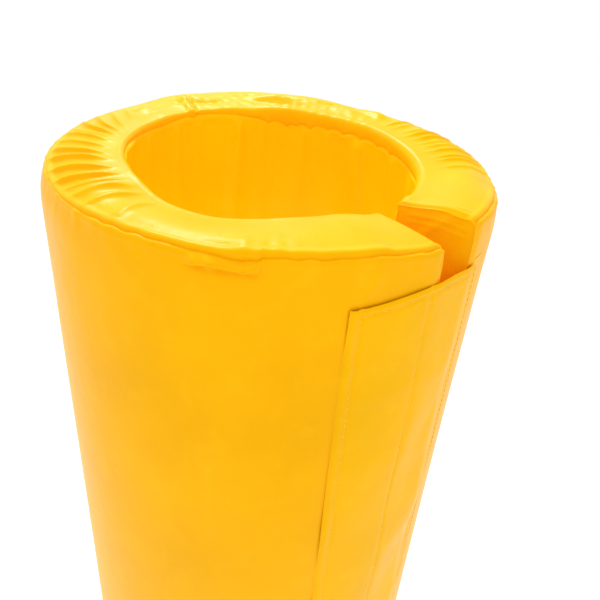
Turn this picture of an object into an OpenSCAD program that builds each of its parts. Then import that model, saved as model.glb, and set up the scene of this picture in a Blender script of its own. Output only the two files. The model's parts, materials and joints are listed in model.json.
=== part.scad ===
// Wrap-around padded post protector: a foam wall in a coated-fabric cover, closed by a
// hook-and-loop flap. Millimetres, +Z up, origin on the bore's axis at the foot.
// The pad is divided into five staves, which fold on their outer skin, and the slit faces -Y.

/* [Sleeve] */
// Height of the sleeve
sleeve_h = 1000; // [500:10:1500]
// Diameter of the bore that goes round the post
bore_d = 190; // [120:2:320]
// Thickness of the padded wall, with its cover
wall_t = 50; // [30:1:80]
// Angle left open between the two ends of the pad, in degrees
slit_deg = 12; // [8:1:24]

/* [Cover] */
// Thickness of the coated fabric
cover_t = 0.8; // [0.5:0.1:1.5]
// Rounding of the outer rims
outer_rim_r = 5; // [3:0.5:10]
// Rounding of the bore's rims
inner_rim_r = 4; // [3:0.5:8]
// How far round a rim the cap's seam lies, in degrees
seam_deg = 66; // [50:1:75]

/* [Closure flap] */
// Width of the flap, from its seam to its free edge
flap_w = 95; // [80:1:130]
// Distance from the pad's right end to the flap's seam
flap_root = 5; // [4:1:30]
// How far the flap stays below the top rim and above the bottom rim
flap_inset = 25; // [10:1:60]
// Thickness of one ply of the flap
ply_t = 0.7; // [0.5:0.1:1.2]
// Width of the hem that holds the flap
root_hem_w = 12; // [8:1:20]
// Distance from the flap's edges to its stitching
hem_stitch = 5; // [3:0.5:10]

/* [Hook and loop tape] */
// Width of both tapes
tape_w = 50; // [25:1:55]
// Thickness of a tape's woven backing
tape_back_t = 0.4; // [0.3:0.1:0.6]
// Height of the loops
loop_t = 0.7; // [0.5:0.1:1]
// Height of the hooks
hook_t = 0.5; // [0.4:0.1:1]
// Width of the bare woven edge that the stitching runs along
selvage = 2; // [1.5:0.1:3]

/* [Stitching] */
// Diameter of the thread on the cover
thread_d = 0.7; // [0.5:0.1:1]
// Diameter of the thread on the tapes
tape_thread_d = 0.4; // [0.3:0.1:0.5]
// Distance from a rim seam to its topstitching
topstitch = 2.3; // [1.5:0.1:4]
// Distance from the right end's edge to its stitching
edge_stitch = 2.5; // [2:0.5:8]

/* [Hidden] */
$fn = 240;
STAVES = ["back", "right_side", "right_end", "left_side", "left_end"];
STAVE_PARTS = ["foam", "outer_cover", "inner_liner", "top_cap", "bottom_cap", "rim_stitching"];

YELLOW = [1.0, 0.73, 0.03];
THREAD = [0.93, 0.62, 0.03];
FOAM = [0.87, 0.86, 0.82];
TAPE = [0.90, 0.66, 0.06];

// Radii and clearances
bore_r = bore_d / 2;
skin_r = bore_r + wall_t;
layer_gap = 0.1;       // between two layers of one body
body_gap = 0.3;        // between two bodies that slide past each other
thread_gap = 0.02;     // between a thread and the fabric that it lies on
tape_end_gap = 2;      // from the flap's ends to the tapes' ends
rim_steps = 6;         // straight steps in a quarter of a rim

// Angles. The back stave is centred on +Y, and the slit on -Y.
stave_deg = (360 - slit_deg) / len(STAVES);
fold_gap_deg = arc_deg(body_gap, skin_r) / 2;
end_gap_deg = asin((cover_t + layer_gap) / bore_r);
right_plane = -90 + slit_deg / 2;
left_plane = -90 - slit_deg / 2;

// The angle at which each stave starts
STAVE_LOW = [90 - stave_deg / 2, right_plane + stave_deg, right_plane,
             90 + stave_deg / 2, 360 + left_plane - stave_deg];

// Radii of the closure's layers, from the cover outwards
loop_back_r = skin_r + layer_gap;
loop_top_r = loop_back_r + tape_back_t + loop_t;
hook_tip_r = loop_top_r + body_gap;
hook_back_r = hook_tip_r + hook_t;
inner_ply_r = hook_back_r + tape_back_t + layer_gap;
outer_ply_r = inner_ply_r + ply_t + layer_gap;
flap_r = outer_ply_r + ply_t;
hem_r = skin_r + layer_gap;

// Angles of the closure, from the seam (high) to the free edge (low)
root_a = right_plane + arc_deg(flap_root, skin_r);
tip_a = root_a - arc_deg(flap_w, flap_r);
hook_low = tip_a + arc_deg(2, flap_r);
hook_high = hook_low + arc_deg(tape_w, flap_r);
split_a = hook_high + arc_deg(1.5, flap_r);
loop_high = min(left_plane - arc_deg(1, skin_r), hook_high - arc_deg(selvage + 1, flap_r));
loop_low = loop_high - arc_deg(tape_w, skin_r);
ply_gap_deg = arc_deg(0.25, flap_r);
flap_low_z = flap_inset;
flap_high_z = sleeve_h - flap_inset;

function arc_deg(length, r) = length / r * 180 / PI;

function polar(r, a) = [r * cos(a), r * sin(a)];

// An arc of points round [x, z], from angle a0 to a1
function arc(x, z, r, a0, a1) =
    let (n = max(1, ceil(abs(a1 - a0) / 90 * rim_steps)))
    [for (i = [0:n]) [x, z] + polar(r, a0 + (a1 - a0) * i / n)];

// The four rim arcs of the wall's section, drawn in by the depth d under the cover's face
function outer_top(d, a0, a1) =
    arc(skin_r - outer_rim_r, sleeve_h - outer_rim_r, outer_rim_r - d, a0, a1);
function inner_top(d, a0, a1) =
    arc(bore_r + inner_rim_r, sleeve_h - inner_rim_r, inner_rim_r - d, a0, a1);
function flipped(points) = [for (p = points) [p[0], sleeve_h - p[1]]];
function reversed(points) = [for (i = [len(points) - 1:-1:0]) points[i]];

// The whole section of the wall at the depth d, counter-clockwise
function wall_section(d) = concat(
    reversed(flipped(outer_top(d, 0, 90))),
    outer_top(d, 0, 90),
    inner_top(d, 90, 180),
    reversed(flipped(inner_top(d, 90, 180)))
);

// The runs of the cover's panels round the section, each at the depth d
function outer_run(d) = concat(
    reversed(flipped(outer_top(d, 0, seam_deg))),
    outer_top(d, 0, seam_deg)
);
function cap_run(d) = concat(
    outer_top(d, seam_deg + cap_seam_gap(outer_rim_r), 90),
    inner_top(d, 90, 180 - seam_deg - cap_seam_gap(inner_rim_r))
);
function liner_run(d) = concat(
    inner_top(d, 180 - seam_deg, 180),
    reversed(flipped(inner_top(d, 180 - seam_deg, 180)))
);
function cap_seam_gap(rim_r) = arc_deg(layer_gap, rim_r - cover_t);

// A layer of fabric between a run at the depth 0 and the same run at the fabric's depth
function layer(outside, inside) = concat(outside, reversed(inside));

// The low and high angles of a stave's solids: a fold takes half a fold gap, a slit end
// takes the thickness of its end panel
function low_a(i) = STAVE_LOW[i] + (STAVES[i] == "right_end" ? end_gap_deg : fold_gap_deg);
function high_a(i) = STAVE_LOW[i] + stave_deg
    - (STAVES[i] == "left_end" ? end_gap_deg : fold_gap_deg);

// A section carried round the bore's axis
module sector(low, high) {
    rotate([0, 0, low])
        rotate_extrude(angle = high - low)
            children();
}

module stave(i, points) {
    sector(low_a(i), high_a(i))
        polygon(points);
}

module foam(i) {
    color(FOAM)
        stave(i, wall_section(cover_t + layer_gap));
}

module outer_cover(i) {
    color(YELLOW)
        stave(i, layer(outer_run(0), outer_run(cover_t)));
}

module inner_liner(i) {
    color(YELLOW)
        stave(i, layer(liner_run(0), liner_run(cover_t)));
}

module top_cap(i) {
    color(YELLOW)
        stave(i, layer(cap_run(0), cap_run(cover_t)));
}

module bottom_cap(i) {
    color(YELLOW)
        stave(i, layer(reversed(flipped(cap_run(0))), reversed(flipped(cap_run(cover_t)))));
}

// The rows of thread below the top seam and above the bottom seam
module rim_stitching(i) {
    row = skin_r - outer_rim_r;
    row_a = seam_deg - arc_deg(topstitch, outer_rim_r);
    at = [row, sleeve_h - outer_rim_r] + polar(outer_rim_r + thread_gap + thread_d / 2, row_a);
    color(THREAD)
        for (p = [at, flipped([at])[0]])
            sector(low_a(i), high_a(i))
                translate(p)
                    circle(d = thread_d, $fn = 24);
}

// A flat panel of fabric that closes a slit end. side is 1 where the pad lies towards +angle.
module end_panel(plane_a, side) {
    color(YELLOW)
        rotate([0, 0, plane_a])
            translate([0, side > 0 ? cover_t : 0, 0])
                rotate([90, 0, 0])
                    linear_extrude(cover_t)
                        polygon(wall_section(0));
}

// A band of fabric round the axis
module band(r, t, low, high, low_z, high_z) {
    sector(low, high)
        translate([r, low_z])
            square([t, high_z - low_z]);
}

// One ply of the flap, over the flap's whole height
module ply(r, low, high) {
    color(YELLOW)
        band(r, ply_t, low, high, flap_low_z, flap_high_z);
}

// A tape from the radius r0 to r1, with its hooks or loops cut away from pile_r0 to pile_r1
// along the selvages
module tape(r0, r1, pile_r0, pile_r1, low, high) {
    low_z = flap_low_z + tape_end_gap;
    high_z = flap_high_z - tape_end_gap;
    bare_deg = arc_deg(selvage, r0);
    color(TAPE)
        difference() {
            band(r0, r1 - r0, low, high, low_z, high_z);
            for (a = [[low - 1, low + bare_deg], [high - bare_deg, high + 1]])
                band(pile_r0, pile_r1 - pile_r0, a[0], a[1], 0, sleeve_h);
        }
}

// A straight row of thread up the face at the radius r
module upright_thread(r, a, d, low_z, high_z) {
    translate([r * cos(a), r * sin(a), low_z])
        cylinder(d = d, h = high_z - low_z, $fn = 24);
}

// A row of thread round the face at the radius r
module round_thread(r, low, high, z) {
    sector(low, high)
        translate([r, z])
            circle(d = thread_d, $fn = 24);
}

// The hem rows of a stretch of the flap, near its top and bottom edges
module hem_threads(low, high) {
    r = flap_r + thread_gap + thread_d / 2;
    for (z = [flap_low_z + hem_stitch, flap_high_z - hem_stitch])
        round_thread(r, low, high, z);
}

module flap_root_hem() {
    color(YELLOW)
        band(hem_r, 2 * ply_t, root_a + ply_gap_deg, root_a + arc_deg(root_hem_w, skin_r),
             flap_low_z, flap_high_z);
}

module flap_root_stitching() {
    a = root_a + arc_deg(root_hem_w / 2, skin_r);
    r = hem_r + 2 * ply_t + thread_gap + thread_d / 2;
    color(THREAD)
        upright_thread(r, a, thread_d, flap_low_z + hem_stitch, flap_high_z - hem_stitch);
}

module flap_base_outer_ply() {
    ply(outer_ply_r, split_a + ply_gap_deg, root_a - ply_gap_deg);
}

module flap_base_inner_ply() {
    ply(inner_ply_r, split_a + ply_gap_deg, root_a - ply_gap_deg);
}

module flap_base_stitching() {
    color(THREAD)
        hem_threads(split_a + ply_gap_deg, root_a - ply_gap_deg);
}

module flap_tab_outer_ply() {
    ply(outer_ply_r, tip_a, split_a - ply_gap_deg);
}

module flap_tab_inner_ply() {
    ply(inner_ply_r, tip_a, split_a - ply_gap_deg);
}

// The hem rows, with an upright row along the free edge and one along the hook tape's far edge
module flap_tab_stitching() {
    r = flap_r + thread_gap + thread_d / 2;
    edge_deg = arc_deg(hem_stitch, flap_r);
    inside = hem_stitch + 2 * thread_d;
    color(THREAD) {
        hem_threads(tip_a + edge_deg, split_a - ply_gap_deg);
        for (a = [tip_a + edge_deg + arc_deg(2 * thread_d, flap_r), hook_high - edge_deg / 3])
            upright_thread(r, a, thread_d, flap_low_z + inside, flap_high_z - inside);
    }
}

module hook_tape() {
    tape(hook_tip_r, hook_back_r + tape_back_t, hook_tip_r - hook_t, hook_back_r, hook_low, hook_high);
}

module loop_tape() {
    tape(loop_back_r, loop_top_r, loop_top_r - loop_t, loop_top_r + loop_t, loop_low, loop_high);
}

// Two upright rows along a tape's selvages, on the face at the radius r
module tape_stitching(r, low, high) {
    a = arc_deg(selvage / 2, r);
    color(THREAD)
        for (row = [low + a, high - a])
            upright_thread(r, row, tape_thread_d, flap_low_z + hem_stitch, flap_high_z - hem_stitch);
}

module hook_tape_stitching() {
    tape_stitching(hook_back_r - thread_gap - tape_thread_d / 2, hook_low, hook_high);
}

module loop_tape_stitching() {
    tape_stitching(loop_back_r + tape_back_t + thread_gap + tape_thread_d / 2,
                   loop_low, loop_high);
}

module right_edge_stitching() {
    r = skin_r + thread_gap + thread_d / 2;
    inside = outer_rim_r + hem_stitch;
    color(THREAD)
        upright_thread(r, right_plane + arc_deg(edge_stitch, skin_r), thread_d,
                       inside, sleeve_h - inside);
}

for (i = [0:len(STAVES) - 1]) {
    foam(i);
    outer_cover(i);
    inner_liner(i);
    top_cap(i);
    bottom_cap(i);
    rim_stitching(i);
}
end_panel(left_plane, -1);  // left_end_panel
end_panel(right_plane, 1);  // right_end_panel
right_edge_stitching();
flap_root_hem();
flap_root_stitching();
flap_base_outer_ply();
flap_base_inner_ply();
flap_base_stitching();
flap_tab_outer_ply();
flap_tab_inner_ply();
flap_tab_stitching();
hook_tape();
hook_tape_stitching();
loop_tape();
loop_tape_stitching();
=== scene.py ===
"""A wrap-around padded post protector: a foam wall in a glossy coated-fabric cover, with
gathered caps, a slit at the front and a sewn hook-and-loop flap that closes it.

The cover's panels are surfaces of two parameters: the azimuth round the bore, and the girth
round the wall's section. Lengths are in millimetres inside the functions that shape the
fabric, and become metres where a mesh is made. Azimuths are in degrees and grow from the
right end of the pad to its left end.
"""
import json
import math

import bpy
import numpy as np
from mathutils import Matrix, Vector


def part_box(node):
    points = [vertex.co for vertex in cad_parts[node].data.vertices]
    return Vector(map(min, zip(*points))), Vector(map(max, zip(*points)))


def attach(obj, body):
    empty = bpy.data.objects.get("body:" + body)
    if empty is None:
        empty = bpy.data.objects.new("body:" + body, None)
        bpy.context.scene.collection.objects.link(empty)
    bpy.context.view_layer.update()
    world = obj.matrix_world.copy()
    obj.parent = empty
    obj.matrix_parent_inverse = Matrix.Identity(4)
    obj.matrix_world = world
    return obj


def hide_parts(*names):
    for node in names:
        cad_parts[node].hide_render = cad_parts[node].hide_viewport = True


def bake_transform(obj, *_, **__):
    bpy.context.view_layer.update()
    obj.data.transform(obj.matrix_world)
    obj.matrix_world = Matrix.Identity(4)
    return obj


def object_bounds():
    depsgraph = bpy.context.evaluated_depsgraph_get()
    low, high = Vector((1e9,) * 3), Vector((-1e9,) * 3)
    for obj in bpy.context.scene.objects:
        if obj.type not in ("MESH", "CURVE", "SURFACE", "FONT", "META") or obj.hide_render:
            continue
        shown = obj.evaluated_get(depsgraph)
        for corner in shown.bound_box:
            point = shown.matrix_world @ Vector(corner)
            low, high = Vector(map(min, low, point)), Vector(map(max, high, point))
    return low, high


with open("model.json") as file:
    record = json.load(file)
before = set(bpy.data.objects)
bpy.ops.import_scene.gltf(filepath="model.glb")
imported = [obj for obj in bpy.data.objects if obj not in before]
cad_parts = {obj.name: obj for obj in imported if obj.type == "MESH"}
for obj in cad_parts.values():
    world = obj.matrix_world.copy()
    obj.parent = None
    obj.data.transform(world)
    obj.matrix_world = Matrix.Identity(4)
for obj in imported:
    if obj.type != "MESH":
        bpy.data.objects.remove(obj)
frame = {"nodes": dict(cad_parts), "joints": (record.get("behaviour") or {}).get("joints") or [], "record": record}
cad_box = [list(corner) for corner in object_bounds()]

MM = 0.001

# ---------------------------------------------------------------- sizes, from the frame


def joint(name):
    """A joint of the frame by its name."""
    return next(j for j in frame["joints"] if j["name"] == name)


def azimuth(point):
    """The azimuth of a point about the bore's axis."""
    return math.degrees(math.atan2(point[1], point[0]))


def arc_deg(length, r):
    """The angle that a length takes round a circle of radius r."""
    return math.degrees(length / r)


def low_z(node):
    """The height of a node's lowest point."""
    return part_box(node)[0].z / MM


def high_z(node):
    """The height of a node's highest point."""
    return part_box(node)[1].z / MM


def far_r(node):
    """The radius of a node's points that lie furthest from the bore's axis."""
    return max(math.hypot(v.co.x, v.co.y) for v in frame["nodes"][node].data.vertices) / MM


BORE_R = next(m for m in frame["record"]["mounts"] if m["name"] == "post_bore")["dims"]["r_mm"]
SKIN_R = far_r("back_outer_cover")
HEIGHT = cad_box[1][2] / MM
RIM_R = 5.0          # rounding of the wall's outer rims
BORE_RIM_R = 4.0     # rounding of the bore's rims
SEAM_DEG = 58.0      # how far round an outer rim its seam lies
BORE_SEAM_DEG = 28.0   # how far round a bore rim its seam lies
COVER_T = 0.8        # thickness of the coated fabric
PLY_T = 0.55         # thickness of a ply of the flap

FOLDS = [azimuth(joint(name)["pos_m"]) % 360 for name in
         ("fold_right_end", "fold_right_back", "fold_left_back", "fold_left_end")]
FOLDS[0] -= 360
STAVE = FOLDS[2] - FOLDS[1]
RIGHT_END = FOLDS[0] - STAVE
LEFT_END = FOLDS[3] + STAVE
FOLD_BODIES = [("right_end", "right_side"), ("right_side", "back"),
               ("back", "left_side"), ("left_side", "left_end")]
FOLD_REACH = 0.98 * BORE_R * math.sin(math.radians(STAVE / 2))

ROOT_A = azimuth(joint("flap_lift")["pos_m"])
SPLIT_A = azimuth(joint("flap_peel")["pos_m"])
FLAP_R = far_r("flap_tab_outer_ply") - 1.4    # the cloth lies pressed down on the tapes
INNER_PLY_R = far_r("flap_tab_inner_ply") - 1.25
HEM_R = far_r("flap_root_hem") - 0.5
HOOK_R = far_r("hook_tape") - 1.2
LOOP_R = far_r("loop_tape") - 0.6
FLAP_LOW, FLAP_HIGH = low_z("flap_tab_outer_ply"), high_z("flap_tab_outer_ply")
TAPE_LOW, TAPE_HIGH = low_z("loop_tape"), high_z("loop_tape") - 4
HEM_STITCH = 5.0     # from the flap's edges to its stitching
TAPE_STITCH = 51.5   # from the flap's free edge to the row that sews the tape's other edge
TAPE_INSET_DEG = 1.2   # how far the tapes stay inside the flap's free edge
RIM_STITCH = 2.7     # from a rim seam to the topstitching on the outer panel
CAP_STITCH = 2.9     # from the top outer seam to the topstitching on the cap
EDGE_STITCH = 2.6    # from the right end's corner to its stitching


def span(node):
    """The lowest and highest azimuth of a node at the front, where azimuths are below zero."""
    a = [azimuth(v.co) for v in frame["nodes"][node].data.vertices]
    return min(a), max(a)


TIP_A = span("flap_tab_outer_ply")[0]

# ---------------------------------------------------------------- small shape functions


def smooth(x, low, high):
    """0 below low, 1 above high, and a smooth step between them."""
    t = np.clip((x - low) / (high - low), 0, 1)
    return t * t * (3 - 2 * t)


def window(x, low, high, soft):
    """1 between low and high, falling smoothly to 0 over soft on either side."""
    return smooth(x, low - soft, low) * (1 - smooth(x, high, high + soft))


def hump(x, centre, width):
    """A rounded ridge: exp(-(distance/width)^2)."""
    return np.exp(-(((x - centre) / width) ** 2))


def crease(x, centre, width):
    """A sharp ridge: exp(-distance/width), rounded a little at its top."""
    return np.exp(-(np.sqrt((x - centre) ** 2 + (0.25 * width) ** 2) - 0.25 * width) / width)


def waves(x, y, count, longest, shortest, seed):
    """Soft undulation: a sum of sine waves of seeded direction, length and phase, about -1 to 1."""
    rng = np.random.default_rng(seed)
    total = np.zeros(np.broadcast(x, y).shape)
    for _wave in range(count):
        length = shortest * (longest / shortest) ** rng.random()
        turn, phase = rng.random(2) * 2 * np.pi
        total += np.sin((x * math.cos(turn) + y * math.sin(turn)) * 2 * np.pi / length + phase)
    return total / math.sqrt(count)


# ---------------------------------------------------------------- the wall's section


def arc_points(x, z, r, a0, a1, steps=24):
    """Points on an arc about (x, z), with the arc's normals."""
    a = np.radians(np.linspace(a0, a1, steps))
    return np.stack([x + r * np.cos(a), z + r * np.sin(a), np.cos(a), np.sin(a)], axis=1)


def section_table():
    """The closed section of the wall as rows of (radius, height, normal's radius, normal's
    height): from the top outer seam down the outer face, in under the foot, up the bore and out
    over the top. Returns the rows, the girth at each, and the girths of the four seams."""
    outer_x, inner_x = SKIN_R - RIM_R, BORE_R + BORE_RIM_R
    outer_z, inner_z = HEIGHT - RIM_R, HEIGHT - BORE_RIM_R
    s, b = SEAM_DEG, BORE_SEAM_DEG
    runs = [
        [arc_points(outer_x, outer_z, RIM_R, s, 0), arc_points(outer_x, RIM_R, RIM_R, 0, -s)],
        [arc_points(outer_x, RIM_R, RIM_R, -s, -90),
         arc_points(inner_x, BORE_RIM_R, BORE_RIM_R, -90, b - 180)],
        [arc_points(inner_x, BORE_RIM_R, BORE_RIM_R, b - 180, -180),
         arc_points(inner_x, inner_z, BORE_RIM_R, 180, 180 - b)],
        [arc_points(inner_x, inner_z, BORE_RIM_R, 180 - b, 90),
         arc_points(outer_x, outer_z, RIM_R, 90, s)],
    ]
    rows, seams = [], [0.0]
    for run in runs:
        rows += run
        flat = np.concatenate(rows)
        steps = np.hypot(*np.diff(flat[:, :2], axis=0).T)
        seams.append(float(steps.sum()))
    return flat, np.concatenate([[0], np.cumsum(steps)]), seams


SECTION, GIRTH, SEAMS = section_table()
OUTER_LENGTH = SEAMS[1]
CAP_WIDTH = SEAMS[2] - SEAMS[1]
LINER_LENGTH = SEAMS[3] - SEAMS[2]
WHOLE_GIRTH = SEAMS[4]


TILT_A = [-90, -60, -40, -10, 10, 62, 90, 160, 172, 182, 190, 208, 216, 226, 236, 250, 264]
TILT = [5.6, 5.0, 3.0, 0.6, 0.0, 0.8, 0.0, 0.0, 1.2, 5.6, 7.4, 7.4, 5.6, 3.4, 1.8, 0.4, 0.0]


def sag(a, g):
    """How far the wall's top sinks at the azimuth a and girth g. The cap tilts into the bore
    where the foam is compressed, and the left end droops, together with the panels beside it."""
    tilt = np.mean([np.interp(a + step, TILT_A, TILT) for step in (-5, -2.5, 0, 2.5, 5)], axis=0)
    droop = 4.8 * smooth(a, 244, 263) + 0.8 * smooth(a, 226, 244)
    across = np.clip((WHOLE_GIRTH - g) / CAP_WIDTH, 0, 1)
    on_cap = g >= SEAMS[3]
    liner = np.exp(-np.abs(SEAMS[3] - g) / 60)
    inner_side = np.where(on_cap, smooth(across, 0.2, 1.0), np.where(g > SEAMS[2], liner, 0))
    top_side = np.where(on_cap, 1.0, np.where(g > SEAMS[2], liner, np.exp(-g / 60)))
    return tilt * inner_side + droop * top_side


def on_wall(a, girth, lift):
    """Points in metres at the azimuths a and girths, each raised by lift along the wall's
    normal. The girth wraps round at the whole girth."""
    g = np.mod(girth, WHOLE_GIRTH)
    r, z, nr, nz = (np.interp(g, GIRTH, SECTION[:, k]) for k in range(4))
    size = np.hypot(nr, nz)
    r = r + nr / size * lift
    z = z + nz / size * lift - sag(a, g)
    return np.stack([r * np.cos(np.radians(a)), r * np.sin(np.radians(a)), z], axis=-1) * MM


# ---------------------------------------------------------------- how the fabric lies

JOG_A = 223.6        # the pucker in the front rim's seam
BACK_PUCKER_A = 76.0   # the pucker across the cap at the back


def spaced(low, high, step, seed):
    """Azimuths from low to high, about step apart and a little uneven."""
    rng = np.random.default_rng(seed)
    count = round((high - low) / step)
    return low + (np.arange(count) + 0.5 + 0.6 * (rng.random(count) - 0.5)) * step


def pleats(a, table):
    """Gathers across a cap: a sharp ridge for each (azimuth, height, width) of the table."""
    return sum(height * crease(a, centre, width) for centre, height, width in table)


# azimuth, height and width of each gather, at the outer rim
LEFT_PLEATS = [(101, 0.4, 0.9), (108, 0.6, 0.9), (115, 0.8, 0.9), (121.9, 1.1, 1.0),
               (126.5, 0.5, 0.8), (130.6, 1.0, 1.0), (137, 0.7, 0.9), (144.2, 1.0, 0.9),
               (150.4, 1.1, 1.0), (158.3, 0.9, 0.9), (165.2, 1.1, 0.9), (170.3, 0.7, 0.8),
               (175.4, 1.1, 1.5), (181, 0.6, 1.1), (190.8, 1.0, 1.7)]
# azimuth, depth, width in degrees and length of each deep fold of the bore's liner
LINER_FOLDS = [(63, 3.6, 2.3, 75), (52, 2.2, 1.8, 34), (84, 2.2, 2.2, 34), (96, 2.4, 2.0, 50),
               (2.5, 3.2, 2.6, 80), (20, 2.0, 2.0, 26), (31, 2.4, 1.7, 24), (-20, 2.4, 2.4, 44),
               (115, 2.2, 2.2, 34)]
RIGHT_PLEATS = [(a, 0.6 + 0.5 * math.sin(3 * a) ** 2, 0.75) for a in spaced(-50, -2, 4.4, 8)]


def from_end(a):
    """The distance along the skin from the nearer end of the pad."""
    return np.radians(np.minimum(a - RIGHT_END, LEFT_END - a)) * SKIN_R


def seam_dip(d, depth, roll):
    """The fabric at the distance d from a seam: it dives into the seam and rolls up beside it."""
    return roll * hump(d, 3.0, 1.7) - depth * hump(d, 0, 0.85)


def slump(a, d):
    """How far the outer rim is rounded off at the distance d from its seam. The pad's corner is
    softest at the left and right, and keeps its edge at the front."""
    soft = 0.7 + 3.6 * window(a, 100, 165, 25) + 3.8 * window(a, -50, 12, 24)
    return soft * hump(d, 0, 11)


def seam_shift(a):
    """How far the top outer seam lies down the wall from its even place: it drops a little to
    the pucker at the front, and jumps up there."""
    before = 2.8 * smooth(a, 200, JOG_A - 2) * (1 - smooth(a, JOG_A - 0.8, JOG_A + 0.5))
    after = 0.4 * window(a, JOG_A + 1, 252, 3)
    return before + after + 0.28 * waves(np.radians(a) * SKIN_R, 0 * a, 5, 22, 7, 19)


def bore_shift(a):
    """How far the top bore seam lies down the bore. At the back and right the cap is pulled over
    the rim, and its edge hangs in points where the squeezed liner gathers it."""
    low = np.interp(a, [-84, -62, -40, -22, -4, 20, 42, 54, 64, 76, 90, 104, 120, 136],
                    [2.0, 3.5, 7.5, 7.0, 6.0, 6.0, 6.0, 4.0, 1.5, 0.4, 0.4, 2.0, 1.0, 0.0])
    points = sum(h * crease(a, c, 1.5) for c, h in zip(
        (49, 40, 35.3, 28.8, 20, 11.5, 2, -8, -17), (3.4, 3.8, 2.6, 4.2, 2.0, 3.0, 2.4, 2.2, 2.6)))
    return low + points * 0.9


def cap_lift(a, t, w):
    """How far a cap stands off its even face. t is the distance in from the outer seam, and w
    the distance to the bore's seam. The cap is gathered where the pad was bent round."""
    across = np.clip(t / CAP_WIDTH, 0, 1)
    dome = np.sin(np.pi * across)
    girth = np.radians(a) * 120
    lean = np.interp(a, [95, 122, 131, 150, 165, 180, 191],
                     [0.45, 0.45, 0.28, 0.23, 0.12, 0, -0.14])
    fan = a - lean * (t - 8) + 0.3 * waves(girth, t, 4, 70, 28, 21) * smooth(t, 0, 25)
    left = window(a, 108, 186, 9) * (0.85 + 0.15 * waves(girth, t * 0.4, 4, 60, 22, 22))
    left = left * smooth(t, 2, 8) * (1 - smooth(across, 0.5, 0.88))
    lift = dome ** 0.7 + 3.7 * left * (pleats(fan, LEFT_PLEATS) - 0.3)
    right = window(a, -48, -2, 5) * smooth(t, 1, 6) * (1 - smooth(across, 0.5, 0.8))
    lift = lift + 2.2 * right * (pleats(a, RIGHT_PLEATS) - 0.3)
    ripple = waves(girth + 0.5 * t, t, 6, 13, 6.5, 12)
    lobes = waves(girth + 0.8 * t, t, 5, 44, 22, 14)
    back = window(a, 6, 98, 10)
    lift = lift + back * dome * (2.3 * np.sqrt(lobes ** 2 + 0.06) - 1.3 + 0.15 * ripple)
    lift = lift + 0.35 * dome * waves(girth, t, 6, 100, 36, 17)
    # the pucker at the front: a rounded lump above the seam's jog, with creases fanning from it
    lump = hump(a, JOG_A - 3.4, 3.0) * hump(t, 7.5, 6.0)
    rays = waves(a * 2.6, t, 5, 16, 8, 25) * hump(a, JOG_A - 3, 7) * hump(t, 8, 9)
    lift = lift + 1.9 * lump + 0.5 * rays
    # to the right of it the cap rolls over the rim in a soft welt
    lift = lift + 0.9 * window(a, JOG_A + 1.5, 249, 2.5) * hump(t, 4.2, 2.8)
    # the back pucker runs right across
    groove = a - BACK_PUCKER_A - 0.16 * t
    lift = lift + (1.5 * hump(groove, 2.4, 1.7) - 1.6 * hump(groove, 0, 0.9)) * smooth(t, 2, 12)
    # the right end: the fabric's ear at the inner corner, a welt along the edge, and fold lines
    lift = lift + 1.4 * hump(a, RIGHT_END + 6, 3.2) * smooth(across, 0.72, 0.96)
    right_edge = np.radians(a - RIGHT_END) * 120
    lift = lift + 0.9 * hump(right_edge, 2.6, 1.3) * window(across, 0.16, 0.93, 0.08)
    lift = lift + 0.5 * crease(right_edge, 6.0 + 1.2 * np.sin(t * 0.2), 0.9) * window(
        across, 0.2, 0.7, 0.15)
    return lift + seam_dip(t, 1.5, 0.5) + seam_dip(w, 0.8, 0.35)


def outer_lift(a, s, foot):
    """How far the outer panel stands off its even face, at the distance s below the top seam and
    foot above the bottom seam. Small gathers run down from the topstitching and die away."""
    girth = np.radians(a) * SKIN_R
    gathers = waves(girth, s * 0.12, 6, 15, 5.5, 31) * (hump(s, 4, 9) + hump(foot, 4, 9))
    folds = waves(girth + 0.35 * s, s * 0.3, 5, 70, 28, 33) * (np.exp(-s / 60) + np.exp(-foot / 60))
    broad = waves(girth, s * 0.7, 6, 420, 130, 35)
    lift = 0.22 * gathers + 0.4 * folds * smooth(s, 3, 22) * smooth(foot, 3, 22) + 0.5 * broad
    # the rolled fold under the seam, to the left of the pucker
    crinkle = 1 + 0.3 * waves(girth, s, 3, 12, 6, 36)
    roll = window(a, 211, JOG_A - 1.2, 2.4) * crinkle
    lift = lift + roll * (3.0 * hump(s, 4.2, 1.8) - 1.2 * hump(s, 8.0, 2.0))
    lift = lift + seam_dip(s, 1.2, 0.45) + seam_dip(foot, 1.2, 0.45)
    # near the slit the panel is pulled flat to its corner, with one soft slanting crease
    slant = (LEFT_END - a) * math.radians(SKIN_R) - 41 - 0.5 * (s - 8)
    lift = lift + 0.8 * hump(slant, 0, 4) * hump(s, 14, 15)
    # pressed flat under the tapes
    taped = window(a, 360 + TIP_A + 1, LEFT_END + 5, 2) + window(a, -90, -80, 3)
    pressed = smooth(s, 20, 32) * taped
    return lift * (1 - pressed) - 0.15 * pressed


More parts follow.
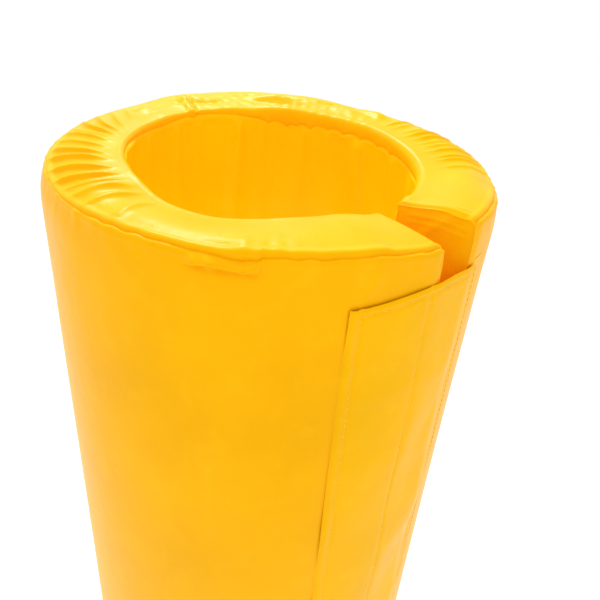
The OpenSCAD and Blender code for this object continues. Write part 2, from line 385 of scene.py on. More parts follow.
def liner_lift(a, s, foot):
    """How far the bore's liner stands off its even face, at the distance s below the top seam:
    loose upright folds, because the bore's side is squeezed when the pad is bent round."""
    girth = np.radians(a) * BORE_R
    folds = waves(girth, s * 0.1, 7, 42, 15, 41)
    vees = np.abs(waves(girth, s * 0.05, 3, 30, 18, 44)) * np.exp(-s / 9)
    slack = np.exp(-s / 80) + 0.3 + np.exp(-foot / 80)
    lift = 0.8 * folds * slack * smooth(s, 1, 14) * smooth(foot, 2, 18) + vees * smooth(s, 0, 2)
    lift = lift + 0.4 * waves(girth, s, 5, 160, 60, 43)
    lift = lift + 2.4 * hump(a, RIGHT_END + 2.2, 1.5) * hump(s, 7, 6)
    for centre, depth, width, length in LINER_FOLDS:
        lean = centre + 0.03 * s * math.cos(centre)
        fold = depth * hump(a, lean, width * (1 + s / 160))
        lift = lift + fold * np.exp(-s / length) * smooth(s, 1, 8)
    return lift + seam_dip(s, 0.8, 0.3) + seam_dip(foot, 0.8, 0.3) - 0.4


def rounded_ends(a):
    """The panels turn in at the slit, where they meet the end panels."""
    return 1.2 * hump(from_end(a), 0, 2.4)


def outer_place(a, s):
    """Girth and lift of the outer panel at the distance s below its top seam."""
    girth = s + seam_shift(a) * np.exp(-s / 30)
    lift = outer_lift(a, s, OUTER_LENGTH - s) - slump(a, s) - 0.5 * slump(60, OUTER_LENGTH - s)
    return girth, lift - rounded_ends(a)


def top_cap_place(a, t):
    """Girth and lift of the top cap at the distance t in from its outer seam."""
    w = CAP_WIDTH - t
    girth = WHOLE_GIRTH - t + seam_shift(a) * np.exp(-t / 14)
    girth = girth - bore_shift(a) * smooth(t, 0.6 * CAP_WIDTH, CAP_WIDTH)
    return girth, cap_lift(a, t, w) - slump(a, t) - rounded_ends(a)


def bottom_cap_place(a, t):
    """Girth and lift of the bottom cap, pressed almost flat by what it stands on."""
    lift = 0.3 * (cap_lift(230 - a, t, CAP_WIDTH - t) - 1.2) - 0.5 * slump(60, t)
    return SEAMS[1] + t, np.minimum(lift, 0) - rounded_ends(a)


def liner_place(a, s):
    """Girth and lift of the liner at the distance s below its top seam."""
    girth = SEAMS[3] - s - bore_shift(a) * np.exp(-s / 45)
    return girth, liner_lift(a, s, LINER_LENGTH - s) - rounded_ends(a)


def foam_place(a, girth):
    """The foam fills the cover, a little inside every panel."""
    top = np.minimum(np.abs(girth), np.abs(WHOLE_GIRTH - girth))
    foot = np.abs(girth - SEAMS[1])
    return girth, -4.2 - slump(a, top) - 0.5 * slump(60, foot)


# ---------------------------------------------------------------- materials


class Field:
    """The output of a shader node. Sums and products of fields add Math nodes."""

    def __init__(self, shader, socket):
        self.shader = shader
        self.socket = socket

    def math(self, operation, first, second):
        """A Math node over two values or fields."""
        node = self.shader.node("Math", {"operation": operation}, {0: first, 1: second})
        return node.out(0)

    def __add__(self, other):
        return self.math("ADD", self, other)

    def __sub__(self, other):
        return self.math("SUBTRACT", self, other)

    def __rsub__(self, other):
        return self.math("SUBTRACT", other, self)

    def __mul__(self, other):
        return self.math("MULTIPLY", self, other)

    __radd__ = __add__
    __rmul__ = __mul__


class Node:
    """A shader node with its outputs as fields."""

    def __init__(self, shader, node):
        self.shader = shader
        self.node = node

    def out(self, name):
        """The output of that name or number."""
        return Field(self.shader, self.node.outputs[name])


class Shader:
    """One material's nodes. node() makes any node from its type, settings and inputs."""

    def __init__(self, name):
        self.material = bpy.data.materials.new(name)
        self.material.use_nodes = True
        self.tree = self.material.node_tree
        self.surface = self.tree.nodes["Principled BSDF"]

    def feed(self, socket, value):
        """Links a field to a socket, or sets the socket's own value."""
        if isinstance(value, Field):
            self.tree.links.new(value.socket, socket)
        elif hasattr(socket.default_value, "__len__") and len(socket.default_value) == 4:
            socket.default_value = (*value[:3], 1.0)
        else:
            socket.default_value = value

    def node(self, kind, settings=None, inputs=None):
        """A node of that kind: its settings first, then its inputs."""
        node = self.tree.nodes.new("ShaderNode" + kind)
        for key, value in (settings or {}).items():
            setattr(node, key, value)
        for key, value in (inputs or {}).items():
            self.feed(node.inputs[key], value)
        return Node(self, node)

    def set(self, **values):
        """Sets or links the surface's sockets, named with _ for a space."""
        for key, value in values.items():
            self.feed(self.surface.inputs[key.replace("_", " ")], value)

    def place(self, uv=False):
        """The place on the piece, or on its flat fabric."""
        return self.node("TexCoord").out("UV" if uv else "Object")

    def noise(self, scale, detail=3.0, roughness=0.5):
        """Soft noise of about 0 to 1 over the piece."""
        return self.node("TexNoise", inputs={"Vector": self.place(), "Scale": scale,
                                             "Detail": detail, "Roughness": roughness}).out("Fac")

    def mix(self, factor, first, second):
        """A colour between two colours."""
        node = self.node("Mix", {"data_type": "RGBA"}, {0: factor, 6: first, 7: second})
        return node.out(2)

    def ramp(self, field, low, high):
        """0 below low and 1 above high, straight between."""
        return self.node("MapRange", inputs={0: field, 1: low, 2: high}).out(0)

    def bump(self, *layers):
        """Bump nodes one over another, each (height, distance in metres, strength)."""
        normal = None
        for height, distance, strength in layers:
            inputs = {"Height": height, "Distance": distance, "Strength": strength}
            if normal:
                inputs["Normal"] = normal
            normal = self.node("Bump", inputs=inputs).out("Normal")
        return normal


def scrim(shader, pitch):
    """The woven base cloth that shows through the coating: two crossed sets of ridges, which
    run along the fabric's own grid. It is 0 in the holes of the weave and 1 on its threads."""
    split = shader.node("SeparateXYZ", inputs={"Vector": shader.place(uv=True)})
    across, along = (split.out(k) * (math.pi / pitch) for k in range(2))
    sine = [axis.math("SINE", axis, 0.0) for axis in (across, along)]
    square = [s * s for s in sine]
    return square[0].math("MAXIMUM", square[0], square[1])


def coated_fabric(name, colour, pale):
    """Glossy coated cloth: a saturated skin with a faint scrim under it, a little painted shade in the weave's
    holes, soft mottling, paler where it has been creased and handled, and a gloss that varies a little."""
    s = Shader(name)
    weave = scrim(s, 0.0012)
    mottle = s.noise(14, 4, 0.55)
    grain = s.noise(900, 2, 0.6)
    creased = s.ramp(s.noise(45, 5, 0.65), 0.52, 0.78)
    deep = [c * 0.90 for c in colour]
    base = s.mix(s.ramp(mottle, 0.3, 0.7), deep, colour)
    base = s.mix(creased * 0.35, base, pale)
    # painted shade: the colour darkens a little in the holes of the weave, where its bump sinks
    base = s.mix((1 - weave) * 0.10, base, [c * 0.8 for c in colour])
    s.set(Base_Color=base, Roughness=0.25 + 0.10 * mottle + 0.05 * weave,
          Specular_Tint=(1.0, 0.9, 0.5), IOR=1.13,
          Normal=s.bump((s.noise(75, 4, 0.6), 0.0012, 0.45), (grain, 0.00010, 0.30),
                        (weave, 0.00010, 0.15)))
    return s.material


def bonded_thread():
    """Twisted polyester thread: satin, a little paler than the cloth, with its plies showing."""
    s = Shader("bonded_thread")
    twist = s.noise(1400, 1, 0.4)
    base = s.mix(twist, (0.98, 0.50, 0.004), (1.0, 0.66, 0.05))
    s.set(Base_Color=base, Roughness=0.38 + 0.1 * twist, Specular_Tint=(1.0, 0.8, 0.3),
          Normal=s.bump((twist, 0.0002, 0.6)))
    return s.material


def open_cell_foam():
    """Pale foam with open pores of about a millimetre, darker in the pores' hollows as painted shade."""
    s = Shader("open_cell_foam")
    pores = s.node("TexVoronoi", inputs={"Vector": s.place(), "Scale": 900.0}).out("Distance")
    # painted shade: the colour darkens in the pores' hollows, where the bump sinks
    base = s.mix(s.ramp(pores, 0.1, 0.6), (0.45, 0.43, 0.37), (0.76, 0.74, 0.67))
    s.set(Base_Color=base, Roughness=0.9, Normal=s.bump((pores, 0.0006, 0.8)))
    return s.material


def touch_tape(name, scale, distance, rough, colour):
    """Hook or loop tape: rows of tiny hooks, or a mat of loops, on a woven backing, with painted shade between
    them.
    """
    s = Shader(name)
    pile = s.node("TexVoronoi", inputs={"Vector": s.place(uv=True), "Scale": scale,
                                        "Randomness": 0.35 if rough < 0.6 else 1.0})
    height = pile.out("Distance")
    # painted shade: the colour darkens between the hooks or loops, where the bump sinks
    base = s.mix(s.ramp(height, 0.1, 0.6), colour, [c * 0.75 for c in colour])
    s.set(Base_Color=base, Roughness=rough, Normal=s.bump((1 - height, distance, 0.8)))
    return s.material


def studio_floor():
    """Pale, even, matt paper."""
    s = Shader("studio_floor")
    tone = s.noise(3, 2)
    base = s.mix(tone, (0.975, 0.975, 0.975), (0.985, 0.985, 0.985))
    s.set(Base_Color=base, Roughness=0.8)
    return s.material


COVER = coated_fabric("cover_cloth", (0.98, 0.470, 0.001), (1.0, 0.56, 0.008))
# painted light: the liner is the cover's cloth, coloured lighter to make up for the shade inside the bore
LINER_PAINTED_LIGHTER = coated_fabric("liner_cloth", (1.0, 0.560, 0.001), (1.0, 0.62, 0.008))
FLAP = coated_fabric("flap_cloth", (0.98, 0.500, 0.001), (1.0, 0.58, 0.010))
THREAD = bonded_thread()
FOAM = open_cell_foam()
HOOKS = touch_tape("hook_tape", 620.0, 0.0006, 0.45, (0.94, 0.46, 0.010))
LOOPS = touch_tape("loop_tape", 900.0, 0.0008, 0.8, (0.94, 0.50, 0.015))

# ---------------------------------------------------------------- meshes


def normals_of(p):
    """Unit normals of a grid of points, from the cross product of its two central differences."""
    n = np.cross(np.gradient(p, axis=1), np.gradient(p, axis=0))
    return n / np.maximum(np.linalg.norm(n, axis=-1, keepdims=True), 1e-12)


def normals_outward(p):
    """Unit normals of a grid of points, turned to look away from the bore's axis."""
    n = normals_of(p)
    return n * np.sign((n * p)[..., :2].sum(-1, keepdims=True))


def outward(a):
    """The level directions away from the bore's axis at the azimuths a."""
    return np.stack([np.cos(np.radians(a)), np.sin(np.radians(a)), 0 * a], -1)


def new_object(name, points, faces, material, normals=None, uv=None):
    """A mesh object from arrays: points (n, 3) in metres, faces (m, 4) of indices, for each
    face's corner a normal, and for each point a place on the fabric in metres."""
    mesh = bpy.data.meshes.new(name)
    mesh.vertices.add(len(points))
    mesh.vertices.foreach_set("co", np.ascontiguousarray(points, np.float32).ravel())
    mesh.loops.add(faces.size)
    mesh.loops.foreach_set("vertex_index", np.ascontiguousarray(faces, np.int32).ravel())
    mesh.polygons.add(len(faces))
    starts = np.arange(0, faces.size, faces.shape[1], dtype=np.int32)
    mesh.polygons.foreach_set("loop_start", starts)
    mesh.polygons.foreach_set("use_smooth", np.ones(len(faces), bool))
    mesh.update(calc_edges=True)
    if uv is not None:
        layer = mesh.uv_layers.new(name="Cloth")
        layer.data.foreach_set("uv", np.ascontiguousarray(uv[faces.ravel()], np.float32).ravel())
    mesh.validate()
    if normals is not None:
        mesh.normals_split_custom_set(normals.reshape(-1, 3).astype(float).tolist())
    mesh.materials.append(material)
    obj = bpy.data.objects.new(name, mesh)
    bpy.context.scene.collection.objects.link(obj)
    return obj


def slab(name, p, n, thick, uv, material, away=None):
    """A closed sheet of fabric: the grid p is its face, the same grid moved back by thick along
    the normals n, or away from the one direction given, is its other side, and a band of faces
    runs round the edge. uv is the grid's place on the flat fabric."""
    rows, cols = p.shape[:2]
    face = p.reshape(-1, 3)
    out = n.reshape(-1, 3)
    index = np.arange(rows * cols).reshape(rows, cols)
    quads = np.stack([index[:-1, :-1], index[:-1, 1:], index[1:, 1:], index[1:, :-1]], -1)
    quads = quads.reshape(-1, 4)
    rim = np.concatenate([index[0, :], index[1:, -1], index[-1, -2::-1], index[-2:0:-1, 0]])
    after = np.roll(rim, -1)
    count = rows * cols
    band = np.stack([after, rim, rim + count, after + count], -1)
    faces = np.concatenate([quads, quads[:, ::-1] + count, band])
    # the order of the corners follows the grid, so it is turned over where that looks inwards
    corner = quads[len(quads) // 2]
    a, b, c = face[corner[:3]]
    if np.cross(b - a, c - b) @ out[corner[0]] < 0:
        faces = faces[:, ::-1]
    points = np.concatenate([face, face - (out if away is None else away) * thick * MM])
    corners = np.concatenate([out, -out])[faces]
    edge = points[faces[-len(band):]]
    flat = np.cross(edge[:, 2] - edge[:, 0], edge[:, 3] - edge[:, 1])
    corners[-len(band):] = (flat / np.linalg.norm(flat, axis=1, keepdims=True))[:, None]
    cloth = np.concatenate([uv.reshape(-1, 2)] * 2)
    return new_object(name, points, faces, material, corners, cloth)


def graded(length, *stretches):
    """Stations from 0 to length: each stretch is (up to, step)."""
    out, at = [], 0.0
    for upto, step in stretches:
        count = max(1, math.ceil((upto - at) / step))
        out.append(np.linspace(at, upto, count, endpoint=False))
        at = upto
    return np.concatenate([*out, [length]])


def stitches(line, out, pitch, length, radius):
    """A row of thread stitches along a line of points, on the side that out points to. Each
    stitch is a six-sided capsule whose radius swells and dies as a half ellipse along it."""
    steps = np.linalg.norm(np.diff(line, axis=0), axis=1)
    along = np.concatenate([[0], np.cumsum(steps)])
    count = int((along[-1] - (pitch - length) * MM) // (pitch * MM))
    share = np.array([0.0, 0.12, 0.35, 0.65, 0.88, 1.0])
    start = (np.arange(count) + 0.5 * (1 - length / pitch)) * pitch * MM
    at = (start[:, None] + share * length * MM).ravel()
    centre, up = (np.stack([np.interp(at, along, field[:, k]) for k in range(3)], -1)
                  for field in (line, out))
    ahead = np.stack([np.interp(at + 0.2 * MM, along, line[:, k]) for k in range(3)], -1)
    behind = np.stack([np.interp(at - 0.2 * MM, along, line[:, k]) for k in range(3)], -1)
    run = ahead - behind
    run /= np.maximum(np.linalg.norm(run, axis=1, keepdims=True), 1e-12)
    side = np.cross(run, up)
    side /= np.maximum(np.linalg.norm(side, axis=1, keepdims=True), 1e-12)
    swell = np.tile(np.array([0.25, 0.7, 1.0, 1.0, 0.7, 0.25]), count)[:, None] * radius * MM
    centre = centre + up * (swell - 0.45 * radius * MM)
    turn = np.arange(6) * np.pi / 3
    ring = (side[:, None] * np.cos(turn)[:, None] + up[:, None] * np.sin(turn)[:, None])
    points = centre[:, None] + ring * swell[:, None]
    normals = ring.reshape(-1, 3)
    n = len(share)
    base = np.arange(6)
    tube = [np.stack([base + 6 * k, base + 6 * k + 6, (base + 1) % 6 + 6 * k + 6,
                      (base + 1) % 6 + 6 * k], -1) for k in range(n - 1)]
    ends = np.array([[0, 1, 2, 3], [0, 3, 4, 5]])
    last = ends[:, ::-1] + 6 * (n - 1)
    one = np.concatenate([*tube, ends, last])
    faces = (one[None] + np.arange(count)[:, None, None] * 6 * n).reshape(-1, 4)
    return points.reshape(-1, 3), faces, normals


def thread_rows(name, rows, pitch=4.2, length=3.4, radius=0.30):
    """One piece of thread made of several stitched rows, each (line, out)."""
    points, faces, normals, total = [], [], [], 0
    for line, out in rows:
        p, f, n = stitches(line, out, pitch, length, radius)
        points.append(p)
        faces.append(f + total)
        normals.append(n)
        total += len(p)
    faces = np.concatenate(faces)
    obj = new_object(name, np.concatenate(points), faces, THREAD, np.concatenate(normals)[faces])
    return obj


# ---------------------------------------------------------------- the cover, zone by zone


def zones():
    """The four stretches of the pad that bend at one fold each: (name, low, high, fold)."""
    half = STAVE / 2
    edges = [RIGHT_END, *(f + half for f in FOLDS[:3]), LEFT_END]
    names = ["right_end", "right", "left", "left_end"]
    return [(names[i], edges[i], edges[i + 1], i) for i in range(4)]


def bend(obj, fold):
    """The fold's line is worked out from its centre and its reach either side and passed on, but
    the piece is only baked where it stands: it is not turned about the fold."""
    a = math.radians(FOLDS[fold])
    centre = Vector((math.cos(a), math.sin(a), 0)) * SKIN_R * MM
    along = Vector((-math.sin(a), math.cos(a), 0)) * FOLD_REACH * MM
    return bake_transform(obj, *FOLD_BODIES[fold], start=centre - along, end=centre + along)


def finish_zone(obj, fold, part):
    """Bakes a zone's piece where it stands, without bending it, and has it stand for that part of both its staves.
    """
    bend(obj, fold)
    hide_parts(*(f"{body}_{part}" for body in FOLD_BODIES[fold]))
    return obj


def panel_grid(low, high, step, rows, place, orient):
    """Points and normals of a panel between two azimuths, on the girths that rows gives."""
    cols = max(2, round((high - low) / step)) + 1
    pitch = (high - low) / (cols - 1)
    grid_a, grid_s = np.meshgrid(low + pitch * np.arange(-1, cols + 1), rows)
    girth, lift = place(grid_a, grid_s)
    p = on_wall(grid_a, girth, lift)
    n = normals_of(p) * orient
    uv = np.stack([np.radians(grid_a) * SKIN_R, grid_s], -1) * MM
    return p[:, 1:-1], n[:, 1:-1], uv[:, 1:-1]


def panel(zone, part, step, rows, place, orient, material, radius):
    """One zone of one cover panel, as a sheet between its azimuths; its length at the radius is not kept."""
    name, low, high, fold = zone
    p, n, uv = panel_grid(low, high, step, rows, place, orient)
    obj = slab(f"{name}_{part}_cloth", p, n, COVER_T, uv, material)
    finish_zone(obj, fold, part)
    math.radians(high - low) * radius * MM
    return obj


def foam(zone):
    """One zone of the foam: the wall's section carried round the bore, closed at both ends."""
    name, low, high, fold = zone
    half_outer = np.concatenate([np.linspace(0, 30, 7), np.linspace(60, OUTER_LENGTH - 40, 8),
                                 np.linspace(OUTER_LENGTH - 30, OUTER_LENGTH, 7)])
    bottom = SEAMS[1] + np.linspace(0, CAP_WIDTH, 10)[1:-1]
    half_inner = SEAMS[2] + LINER_LENGTH * half_outer / OUTER_LENGTH
    top = SEAMS[3] + np.linspace(0, CAP_WIDTH, 10)[1:-1]
    girths = np.concatenate([half_outer, bottom, half_inner, top])
    inset = arc_deg(1.6, SKIN_R)
    low = low + inset * (low == RIGHT_END)
    high = high - inset * (high == LEFT_END)
    cols = round((high - low) / 1.5) + 1
    grid_a, grid_g = np.meshgrid(np.linspace(low, high, cols), girths)
    p = on_wall(grid_a, *foam_place(grid_a, grid_g))
    rows = len(girths)
    index = np.arange(rows * cols).reshape(rows, cols)
    after = np.roll(index, -1, axis=0)
    side = np.stack([index[:, :-1], after[:, :-1], after[:, 1:], index[:, 1:]], -1).reshape(-1, 4)
    # an end is closed by quads between the two halves of the section, from the top cap's middle
    order = np.roll(np.arange(rows), len(top) // 2)
    pairs = np.stack([order[: rows // 2], order[::-1][: rows // 2]], -1)
    strip = np.stack([pairs[:-1, 0], pairs[1:, 0], pairs[1:, 1], pairs[:-1, 1]], -1)
    caps = [index[strip, 0], index[strip, -1][:, ::-1]]
    faces = np.concatenate([side, *caps])
    obj = new_object(f"{name}_foam_block", p.reshape(-1, 3), faces, FOAM)
    finish_zone(obj, fold, "foam")
    return obj


def rim_rows(low, high):
    """Lines of the topstitching: below and above the top seam, and above the foot's seam."""
    a = np.linspace(low, high, round((high - low) / 0.25) + 1)
    at = [(outer_place, RIM_STITCH, 1), (outer_place, OUTER_LENGTH - RIM_STITCH, 1),
          (top_cap_place, CAP_STITCH, -1)]
    lines = []
    for place, s, orient in at:
        grid_a, grid_s = np.meshgrid(a, [s - 0.4, s, s + 0.4])
        p = on_wall(grid_a, *place(grid_a, grid_s))
        lines.append((p[1], normals_of(p)[1] * orient))
    return lines


def outer_rows():
    """Stations down the outer panel, closest together near its seams."""
    n = OUTER_LENGTH
    return graded(n, (14, 0.7), (45, 1.5), (120, 3), (360, 6), (n - 60, 12), (n - 14, 3), (n, 1))


def liner_rows():
    """Stations down the liner, closest together near its seams."""
    n = LINER_LENGTH
    return graded(n, (10, 0.9), (60, 2.2), (200, 5), (n - 60, 12), (n - 10, 4), (n, 1))


CAP_ROWS = graded(CAP_WIDTH, (12, 0.7), (CAP_WIDTH - 6, 1.0), (CAP_WIDTH, 0.7))
CAP_R = (BORE_R + SKIN_R) / 2

for zone in zones():
    foam(zone)
    panel(zone, "outer_cover", 0.55, outer_rows(), outer_place, 1, COVER, SKIN_R)
    panel(zone, "top_cap", 0.3, CAP_ROWS, top_cap_place, -1, COVER, CAP_R)
    panel(zone, "bottom_cap", 1.2, graded(CAP_WIDTH, (CAP_WIDTH, 2.4)), bottom_cap_place, 1,
          COVER, CAP_R)
    panel(zone, "inner_liner", 0.8, liner_rows(), liner_place, -1, LINER_PAINTED_LIGHTER, BORE_R)
    rim = thread_rows(f"{zone[0]}_rim_thread", rim_rows(zone[1], zone[2]))
    finish_zone(rim, zone[3], "rim_stitching")


# ---------------------------------------------------------------- the end panels


def end_outline(plane):
    """The top of the pad's section at an end, as heights over the radius."""
    a = plane + (0.3 if plane == RIGHT_END else -0.3)
    runs = []
    sides = [(outer_place, 25, 0), (top_cap_place, 0, CAP_WIDTH), (liner_place, 0, 25)]
    for place, low, high in sides:
        s = np.linspace(low, high, 400)
        p = on_wall(np.full_like(s, a), *place(np.full_like(s, a), s)) / MM
        runs.append(np.stack([np.hypot(p[:, 0], p[:, 1]), p[:, 2]], -1))
    return np.concatenate(runs)


def end_panel(name, plane, towards_slit):
    """A flat panel across a slit end: a grid over the radius and the height, whose top follows
    the cap's line. It is crowned a little, and the right end's panel is creased where the cap was tucked in over
    it."""
    top = end_outline(plane)
    inner, outer = top[:, 0].min() - 0.5, top[:, 0].max() + 0.9
    r = np.linspace(inner, outer, 61)
    roof = np.array([top[np.abs(top[:, 0] - x) < 1.2, 1].max() for x in r]) + 0.35
    floor = np.interp(r, [BORE_R, BORE_R + BORE_RIM_R, SKIN_R - RIM_R, SKIN_R], [4, 0.6, 0.6, 5])
    down = graded(1.0, (0.012, 0.0008), (0.05, 0.0016), (0.12, 0.003), (0.95, 0.02), (1.0, 0.005))
    grid_r, grid_d = np.meshgrid(r, down)
    z = roof[None] - (roof - floor)[None] * grid_d
    below = roof[None] - z
    u = (grid_r - inner) / (outer - inner)
    edge = np.minimum(np.minimum(grid_r - inner, outer - grid_r),
                      np.minimum(below, z - floor[None]))
    lift = 1.1 * smooth(edge, 0, 14) - 0.3 * hump(edge, 1.4, 1.0)
    lift = lift + 0.45 * waves(grid_r, z * 0.5, 6, 60, 22, 51) * smooth(edge, 1, 12)
    if plane == RIGHT_END:
        lines = crease(below, 4.6 + 1.6 * u, 0.9) + 0.8 * crease(below, 8.2 + 2.6 * u, 1.1)
        lift = lift + 0.75 * lines * window(u, 0.2, 0.85, 0.1)
        lift = lift + hump(below - 34 + 46 * u, 0, 4.5) * window(u, 0.35, 0.85, 0.1)
        lift = lift + 0.7 * hump(below - 60 + 30 * u, 0, 6) * window(u, 0.5, 0.85, 0.1)
    along = np.radians(plane)
    across = np.array([-math.sin(along), math.cos(along), 0]) * towards_slit
    flat = np.stack([grid_r * math.cos(along), grid_r * math.sin(along), z], -1)
    p = (flat + across * (lift + 0.35)[..., None]) * MM
    n = normals_of(p)
    n = n * np.sign(n[3, 3] @ across)
    n = np.where((n @ across)[..., None] > 0.35, n, across)
    obj = slab(f"{name}_cloth", p, n, 2 * COVER_T, np.stack([grid_r, z], -1) * MM, COVER, across)
    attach(obj, name.replace("_panel", ""))
    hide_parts(name)
    return obj


end_panel("right_end_panel", RIGHT_END, -1)
end_panel("left_end_panel", LEFT_END, 1)



def edge_stitching():
    """The upright row that sews the cover's fold beside the right end."""
    s = np.linspace(9, OUTER_LENGTH - 9, 400)
    a = np.full_like(s, RIGHT_END + arc_deg(EDGE_STITCH, SKIN_R))
    obj = thread_rows("right_edge_thread", [(on_wall(a, *outer_place(a, s)), outward(a))])
    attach(obj, "right_end")
    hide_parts("right_edge_stitching")


edge_stitching()

# ---------------------------------------------------------------- the closure flap


def flap_face(a, z, base_r, plain=False):
    """Points of the flap at azimuths a and heights z, whose flat radius is base_r. It comes down
    to the skin at its sewn root, is pulled straight over the slit, has a rolled hem, and
    undulates where no tape holds it flat."""
    root = np.radians(ROOT_A - a) * FLAP_R
    tip = np.radians(a - TIP_A) * FLAP_R
    ends = np.minimum(FLAP_HIGH - z, z - FLAP_LOW)
    below = FLAP_HIGH - z
    droop = (0.6 + 4.2 * smooth(-a, 98, 121) + 1.4 * smooth(a, -92, -83)) * np.exp(-below / 110)
    slant = smooth(root, 20, 90) * smooth(below, 30, 330)
    border = np.minimum(tip, ends)
    r = base_r - (1 - smooth(root, 0, 9)) - 0.7 * hump(a, (RIGHT_END + LEFT_END - 360) / 2, 5)
    r = r - 1.1 * (1 - smooth(tip, 0, 5))
    free = 1 - 0.75 * window(tip, 8, 52, 6)
    r = r + (0.3 + 0.6 * free) * 0.8 * waves(root + 0.4 * z, z * 0.5, 6, 130, 45, 61)
    r = r + 0.8 * free * np.maximum(waves(root * 0.9 + 0.5 * z, z * 0.25, 4, 60, 30, 62), 0)
    r = r + 0.5 * (hump(below, 72 - 0.1 * root, 6) + 0.8 * hump(below, 136 - 0.2 * root, 8)) * (
        window(tip, 8, 80, 12))
    if plain:
        return polar_points(r, a + slant, z - droop)
    row = hump(ends, HEM_STITCH, 1.3) + hump(tip, HEM_STITCH + 1.4, 1.3)
    row = row + hump(tip, TAPE_STITCH, 1.5)
    pucker = waves(root, z, 4, 10, 5, 63) * (hump(tip, HEM_STITCH + 1.4, 5) + hump(
        ends, HEM_STITCH, 4) + 0.6 * hump(tip, TAPE_STITCH, 4))
    r = r - 0.5 * row + 0.16 * pucker
    r = r + 0.8 * hump(border, 2.2, 1.6) - 0.75 * (1 - smooth(border, 0, 1.3))
    return polar_points(r, a + slant, z - droop)


def polar_points(r, a, z):
    """Points in metres from cylinder coordinates."""
    return np.stack([r * np.cos(np.radians(a)), r * np.sin(np.radians(a)), z + 0 * r], -1) * MM


def flap_heights(step_top, step):
    """Heights down the flap, closer together near its top and bottom hems."""
    n = FLAP_HIGH - FLAP_LOW
    return FLAP_HIGH - graded(n, (14, step_top), (60, 2 * step_top), (300, step),
                              (n - 14, 2 * step), (n, step_top * 1.5))


def seam_bend(obj):
    """The piece is baked where it stands; nothing lifts it at the flap's sewn root or bends it."""
    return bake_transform(obj)


def peel_bend(obj):
    """The piece is baked where it stands; nothing peels it back or bends it."""
    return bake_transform(obj)


MIDDLE_A = (ROOT_A + SPLIT_A) / 2
HALVES = [("flap_base", MIDDLE_A, ROOT_A, seam_bend), ("flap_tab", TIP_A, MIDDLE_A, peel_bend)]


def flap_grid(low, high, step, heights, r, plain=False):
    """Points, normals and cloth places of the flap between two azimuths."""
    cols = max(2, round(math.radians(high - low) * FLAP_R / step)) + 1
    pitch = (high - low) / (cols - 1)
    a = low + pitch * np.arange(-1, cols + 1)
    grid_a, grid_z = np.meshgrid(a, heights)
    p = flap_face(grid_a, grid_z, r, plain)
    n = normals_outward(p)
    uv = np.stack([np.radians(grid_a) * FLAP_R, grid_z], -1) * MM
    return p[:, 1:-1], n[:, 1:-1], uv[:, 1:-1]


def flap_ply(body, side, low, high, fold, r, step, heights, plain):
    """One half of one ply of the flap, as a sheet handed to the fold given, which only bakes it where it stands.
    """
    p, n, uv = flap_grid(low, high, step, heights, r, plain)
    obj = slab(f"{body}_{side}_ply_cloth", p, n, PLY_T, uv, FLAP)
    fold(obj)
    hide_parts(f"{body}_{side}_ply")
    math.radians(high - low) * FLAP_R * MM
    "stretched" if body == "flap_base" else "laid"


for body, low, high, fold in HALVES:
    flap_ply(body, "outer", low, high, fold, FLAP_R, 1.1, flap_heights(0.9, 3.5), False)
    tuck = arc_deg(1.2, FLAP_R)
    flap_ply(body, "inner", low + tuck * (body == "flap_tab"), high, fold, INNER_PLY_R, 3.0,
             flap_heights(2.5, 8)[1:-1], True)


def flap_line(a, z):
    """A line on the flap's face, with its outward directions."""
    a, z = np.broadcast_arrays(np.asarray(a, float), np.asarray(z, float))
    return flap_face(a, z, FLAP_R), outward(a)


COLUMNS = [TIP_A + arc_deg(HEM_STITCH + 1.4, FLAP_R), TIP_A + arc_deg(TAPE_STITCH, FLAP_R)]
HEMS = [FLAP_HIGH - HEM_STITCH, FLAP_LOW + HEM_STITCH]
column_z = np.linspace(FLAP_HIGH - HEM_STITCH - 1, FLAP_LOW + HEM_STITCH + 1, 500)
for body, low, high, fold in HALVES:
    start = COLUMNS[0] if body == "flap_tab" else low
    rows = [flap_line(np.linspace(start, high, 120), z) for z in HEMS]
    if body == "flap_tab":
        rows += [flap_line(a + 0.10 * np.sin(column_z / 31), column_z) for a in COLUMNS]
    obj = thread_rows(f"{body}_thread", rows)
    fold(obj)
    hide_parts(f"{body}_stitching")


def band_piece(name, node, body, low, high, r, thick, foot, head, material, seed, rough):
    """An upright band that lies flat round the pad, between the heights foot and head. Its face
    is a part of a cylinder of radius r, with waves of the height rough on it."""
    cols = max(3, round(math.radians(high - low) * r / 1.0)) + 1
    grid_a, grid_z = np.meshgrid(np.linspace(low, high, cols), np.linspace(head, foot, 320))
    along = np.radians(grid_a) * r
    edge = np.minimum(along - along.min(), along.max() - along)
    face = r + rough * waves(along, grid_z, 8, 6, 2.5, seed) - 0.3 * (1 - smooth(edge, 0, 1.5))
    p = polar_points(face, grid_a, grid_z)
    obj = slab(name, p, normals_outward(p), thick, np.stack([along, grid_z], -1) * MM, material)
    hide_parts(node)
    if body:
        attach(obj, body)
    return obj




def root_hem():
    """The folded hem that holds the flap at the pad's right end, sewn along its middle."""
    low, high = span("flap_root_hem")
    hem = band_piece("flap_root_hem_cloth", "flap_root_hem", "right_end", low, high, HEM_R, 1.3,
                     FLAP_LOW, FLAP_HIGH, FLAP, 71, 0.05)
    a = np.full_like(column_z, (low + high) / 2)
    line = polar_points(np.full_like(column_z, HEM_R), a, column_z)
    thread = thread_rows("flap_root_thread", [(line, outward(a))])
    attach(thread, "right_end")
    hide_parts("flap_root_stitching")


root_hem()

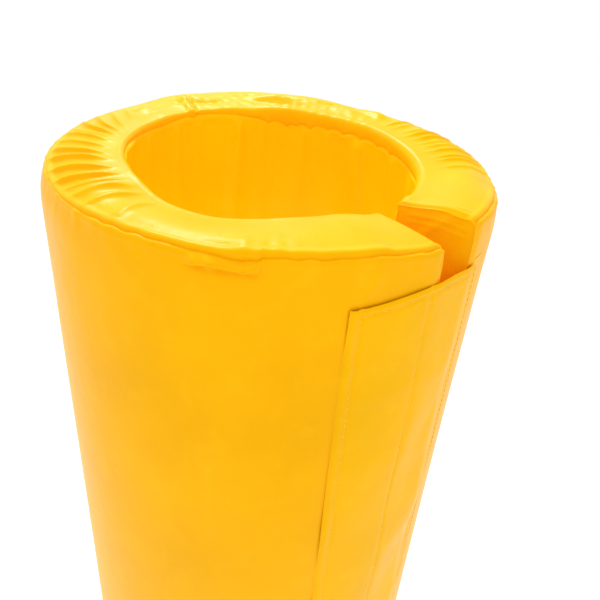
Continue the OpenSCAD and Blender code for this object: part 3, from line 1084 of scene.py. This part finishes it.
loop_low, loop_high = span("loop_tape")
loop_low += TAPE_INSET_DEG
loops = band_piece("loop_tape_cloth", "loop_tape", "left_end", loop_low, loop_high, LOOP_R, 0.5,
                   TAPE_LOW, TAPE_HIGH, LOOPS, 72, 0.06)
hook_low, hook_high = span("hook_tape")
hook_low += TAPE_INSET_DEG
hooks = band_piece("hook_tape_cloth", "hook_tape", None, hook_low, hook_high, HOOK_R, 0.6,
                   TAPE_LOW, TAPE_HIGH, HOOKS, 73, 0.03)
peel_bend(hooks)
for tape in (loops, hooks):
    low, high = (loop_low, loop_high) if tape is loops else (hook_low, hook_high)
    math.radians(high - low) * LOOP_R * MM

tape_z = np.linspace(TAPE_HIGH - 3, TAPE_LOW + 3, 500)


def tape_rows(low, high, r, side):
    """The two upright rows that sew a tape's edges, on its outer side (1) or inner side (-1)."""
    rows = []
    for a in (low + arc_deg(1, r), high - arc_deg(1, r)):
        where = np.full_like(tape_z, a)
        line = polar_points(np.full_like(tape_z, r), where, tape_z)
        rows.append((line, outward(where) * side))
    return rows


loop_thread = thread_rows("loop_tape_thread", tape_rows(loop_low, loop_high, LOOP_R - 0.3, 1),
                          radius=0.2)
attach(loop_thread, "left_end")
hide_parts("loop_tape_stitching")
hook_thread = thread_rows("hook_tape_thread", tape_rows(hook_low, hook_high, HOOK_R - 0.6, -1),
                          radius=0.2)
peel_bend(hook_thread)
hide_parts("hook_tape_stitching")

# ---------------------------------------------------------------- camera, light and floor

CAMERA_A = -45.0     # how far the view is turned about the bore's axis
CAMERA_TURN = (32.24, 5.07, 3.52)   # pitch down, roll and yaw, in degrees
CAMERA_AWAY, CAMERA_UP = 406.2, 142.9   # from the bore's axis, and above the rim
LENS = 38.42


def camera():
    """The view from the front left, above the rim, with a slight roll."""
    pitch, roll, yaw = (math.radians(x) for x in CAMERA_TURN)
    turn = Matrix.Rotation(math.radians(CAMERA_A), 3, "Z")
    forward = Vector((math.sin(yaw) * math.cos(pitch), math.cos(yaw) * math.cos(pitch),
                      -math.sin(pitch)))
    level = Vector((math.cos(yaw), -math.sin(yaw), 0))
    up = level.cross(forward)
    right = math.cos(roll) * level + math.sin(roll) * up
    upright = -math.sin(roll) * level + math.cos(roll) * up
    axes = Matrix((turn @ right, turn @ upright, turn @ -forward)).transposed()
    data = bpy.data.cameras.new("camera")
    data.sensor_width = 36
    data.lens = LENS
    data.clip_start = 0.02
    obj = bpy.data.objects.new("camera", data)
    place = turn @ Vector((0, -CAMERA_AWAY * MM, (HEIGHT + CAMERA_UP) * MM))
    obj.matrix_world = Matrix.Translation(place) @ axes.to_4x4()
    bpy.context.scene.collection.objects.link(obj)
    bpy.context.scene.camera = obj


def soft_box(name, a, high, away, size, power):
    """A square soft light at the azimuth a, high above the rim and away from the axis."""
    data = bpy.data.lights.new(name, "AREA")
    data.size = size
    data.energy = power
    obj = bpy.data.objects.new(name, data)
    place = Vector((math.cos(math.radians(a)) * away, math.sin(math.radians(a)) * away,
                    HEIGHT * MM + high))
    obj.matrix_world = Matrix.Translation(place) @ (
        Vector((0, 0, HEIGHT * MM)) - place).to_track_quat("-Z", "Y").to_matrix().to_4x4()
    bpy.context.scene.collection.objects.link(obj)


def bore_fill():
    """A faint round light inside the bore."""
    data = bpy.data.lights.new("bore_fill", "POINT")
    data.energy = 0.26
    data.shadow_soft_size = 0.05
    obj = bpy.data.objects.new("bore_fill", data)
    obj.location = (-30 * MM, 5 * MM, (HEIGHT - 160) * MM)
    bpy.context.scene.collection.objects.link(obj)


def studio_world(strength):
    """Even white light from all round."""
    world = bpy.data.worlds.new("studio")
    world.use_nodes = True
    background = world.node_tree.nodes["Background"]
    background.inputs["Color"].default_value = (1, 1, 1, 1)
    background.inputs["Strength"].default_value = strength
    bpy.context.scene.world = world
    bpy.context.scene.view_settings.view_transform = "Standard"


def paper_floor(half):
    """A square of paper, half its side each way from the bore's axis."""
    corners = np.array([[-half, -half, 0], [half, -half, 0], [half, half, 0], [-half, half, 0]])
    return new_object("floor", corners, np.array([[0, 1, 2, 3]]), studio_floor())


camera()
soft_box("back_overhead", 56, 1.2, 1.45, 0.36, 28)
soft_box("back_left", 100, 1.3, 1.3, 0.30, 5)
bore_fill()
studio_world(1.04)
paper_floor(20.0)
